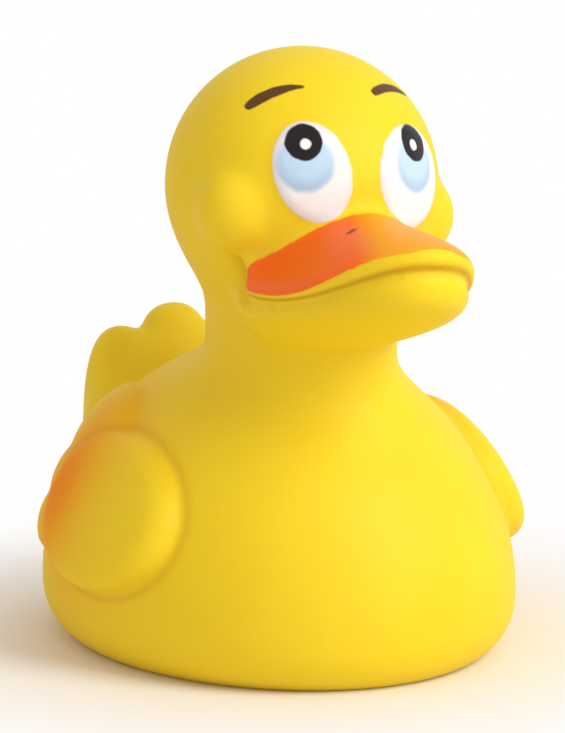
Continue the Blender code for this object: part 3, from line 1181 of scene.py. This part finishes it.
@dataclass(frozen=True)
class Duck:
    """The whole duck, as one moulding."""

    head: Head = Head()
    rubber: Rubber = Rubber()
    wings: Wings = Wings()
    tail: Tail = Tail()
    voxel: float = 0.53
    softening: int = 30
    final_softening: int = 7

    def eyes(self) -> list[Eye]:
        """Gives both eyes, each as it was painted by hand."""
        brow = Brow(start=math.radians(9), end=math.radians(50), start_radius=12.7,
                    end_radius=13.2, thickness=2.7, lean_to_end=0.8)
        right = Eye(self.head, Side.RIGHT, shift=0.6, half_width=5.6, half_height=7.5,
                    lean=math.radians(24), squint=(0.3, 0.0), brow=brow)
        brow = Brow(start=math.radians(-13), end=math.radians(31), start_radius=12.6,
                    end_radius=13.7, thickness=1.6, lean_to_end=0.3)
        left = Eye(self.head, Side.LEFT, shift=0.3, half_width=7.0, half_height=7.5,
                   lean=math.radians(6), squint=(-0.7, 0.7), brow=brow)
        return [right, left]

    def skin(self) -> bpy.types.Object:
        """Makes the whole skin.

        Returns:
            The piece.
        """
        trunk, bill, cheeks = Trunk(self.head), Bill(self.head), Cheeks(self.head)
        shells = [trunk.shell(), bill.shell(), *(cheeks.shell(side) for side in Side), *self.tail.shells()]
        skin = Skin("duck_skin", shells)
        skin.fuse(self.voxel)
        skin.soften(self.softening)

        def relief(points: np.ndarray) -> np.ndarray:
            """Adds up the wings, the eyes and the mouth."""
            face = self.head.face_points(points)
            raised = self.wings.relief(points) + bill.relief(face)
            for eye in self.eyes():
                raised += eye.relief(face)
            return raised

        skin.raise_by(relief)
        skin.fuse(self.voxel)
        skin.soften(self.final_softening)
        skin.cut_base()
        skin.to_metres()
        return skin.piece

    def dress(self, piece: bpy.types.Object) -> None:
        """Gives the skin its rubber and its paint.

        Args:
            piece: The skin.
        """
        material = bpy.data.materials.new("yellow_rubber_painted")
        bench = Bench(material, "Principled BSDF")
        coats = self.rubber.coats(bench, self.head)
        self.wings.dress(coats)
        Bill(self.head).dress(coats)
        for eye in self.eyes():
            eye.dress(coats)
        self.rubber.finish(coats)
        piece.data.materials.clear()
        piece.data.materials.append(material)

    def build(self) -> bpy.types.Object:
        """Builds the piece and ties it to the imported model.

        Returns:
            The piece.
        """
        piece = self.skin()
        self.dress(piece)
        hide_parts("duck")
        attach(piece, "root")
        return piece


@dataclass(frozen=True)
class Studio:
    """A pale floor, soft light and the camera.

    The place of the soft box is how far it is right, up and towards the camera, as seen from there.
    """

    azimuth: float = math.radians(-29.0)
    elevation: float = math.radians(13.0)
    camera_distance: float = 1.7
    lens: float = 563.0
    target_rise: float = 0.040
    floor_half_size: float = 4.0
    floor_colour: Colour = (0.90, 0.85, 0.80)
    floor_roughness: float = 0.9
    floor_shine: float = 0.1
    floor_fade: tuple[float, float] = (0.03, 0.09)
    ambient: float = 0.70
    ambient_tint: Colour = (1.0, 0.92, 0.83)
    white: Colour = (1.0, 1.0, 1.0)
    key_place: tuple[float, float, float] = (0.85, 0.75, 0.55)
    key_size: float = 0.7
    key_power: float = 10.4
    key_tint: Colour = (0.97, 1.0, 0.98)

    def directions(self) -> tuple[Vector, Vector, Vector]:
        """Gives the camera's directions.

        Returns:
            Right, up and back towards the camera.
        """
        level = math.cos(self.elevation)
        back = Vector((math.sin(self.azimuth) * level, -math.cos(self.azimuth) * level,
                       math.sin(self.elevation)))
        right = Vector((math.cos(self.azimuth), math.sin(self.azimuth), 0.0))
        return right, back.cross(right), back

    def camera(self) -> None:
        """Sets up the camera at the photograph's angle."""
        _, up, back = self.directions()
        data = bpy.data.cameras.new("camera")
        data.lens = self.lens
        data.clip_start = 0.1
        camera = put("camera", data)
        camera.location = up * self.target_rise + back * self.camera_distance
        camera.rotation_euler = back.to_track_quat("Z", "Y").to_euler()
        bpy.context.scene.camera = camera

    def key_light(self) -> None:
        """Hangs the square soft box, and turns it to the duck."""
        data = bpy.data.lights.new("key_light", "AREA")
        data.size = self.key_size
        data.energy = self.key_power
        data.color = self.key_tint
        box = put("key_light", data)
        right, _, back = self.directions()
        ahead = Vector((back.x, back.y, 0.0)).normalized()
        sideways, height, towards_camera = self.key_place
        box.location = right * sideways + ahead * towards_camera + Vector((0.0, 0.0, height))
        aim = box.location - Vector((0.0, 0.0, self.target_rise))
        box.rotation_euler = aim.to_track_quat("Z", "Y").to_euler()

    def world(self) -> None:
        """Lights the scene evenly, and shows white behind it."""
        world = bpy.data.worlds.new("studio")
        bench = Bench(world, "Background")
        seen = bench.node("LightPath", output="Is Camera Ray")
        for kind in ("Is Glossy Ray", "Is Transmission Ray"):
            seen = bench.math("MAXIMUM", seen, bench.node("LightPath", output=kind))
        bench.feed(bench.shader, {"Color": bench.mix(seen, self.ambient_tint, self.white),
                                  "Strength": between(self.ambient, 1.0, seen)})
        bpy.context.scene.world = world

    def floor(self) -> None:
        """Lays the pale floor."""
        mesh = bmesh.new()
        bmesh.ops.create_grid(mesh, x_segments=1, y_segments=1, size=self.floor_half_size)
        data = bpy.data.meshes.new("floor")
        mesh.to_mesh(data)
        mesh.free()
        data.materials.append(self.floor_finish())
        floor = put("floor", data)

    def floor_finish(self) -> bpy.types.Material:
        """Makes the floor's matt finish, which fades to white away from the duck.

        Returns:
            The material.
        """
        material = bpy.data.materials.new("pale_floor")
        bench = Bench(material, "Principled BSDF")
        place = bench.node("TexCoord", output="Object")
        bench.feed(bench.shader, {"Base Color": self.floor_colour, "Roughness": self.floor_roughness,
                                  "Specular IOR Level": self.floor_shine})
        near, far = self.floor_fade
        away = bench.vector_math("LENGTH", {0: place}, "Value")
        seen = bench.node("LightPath", output="Is Camera Ray")
        fade = ((away - near) / (far - near)).eased() * seen
        white = bench.node("Emission", None, {"Color": self.white, "Strength": 1.0})
        matt = Field(bench, bench.shader.outputs["BSDF"])
        mixed = bench.node("MixShader", None, {0: fade, 1: matt, 2: white})
        bench.feed(bench.tree.nodes["Material Output"], {"Surface": mixed})
        return material

    def build(self) -> None:
        """Sets the whole studio up."""
        bpy.context.scene.view_settings.view_transform = "Standard"
        self.camera()
        self.world()
        self.floor()
        self.key_light()


def main() -> None:
    """Builds the studio and the duck."""
    logging.basicConfig(level=logging.INFO, format="%(message)s")
    Studio().build()
    piece = Duck().build()
    log.info("%s: %d faces", piece.name, len(piece.data.polygons))


if __name__ == "__main__":
    main()
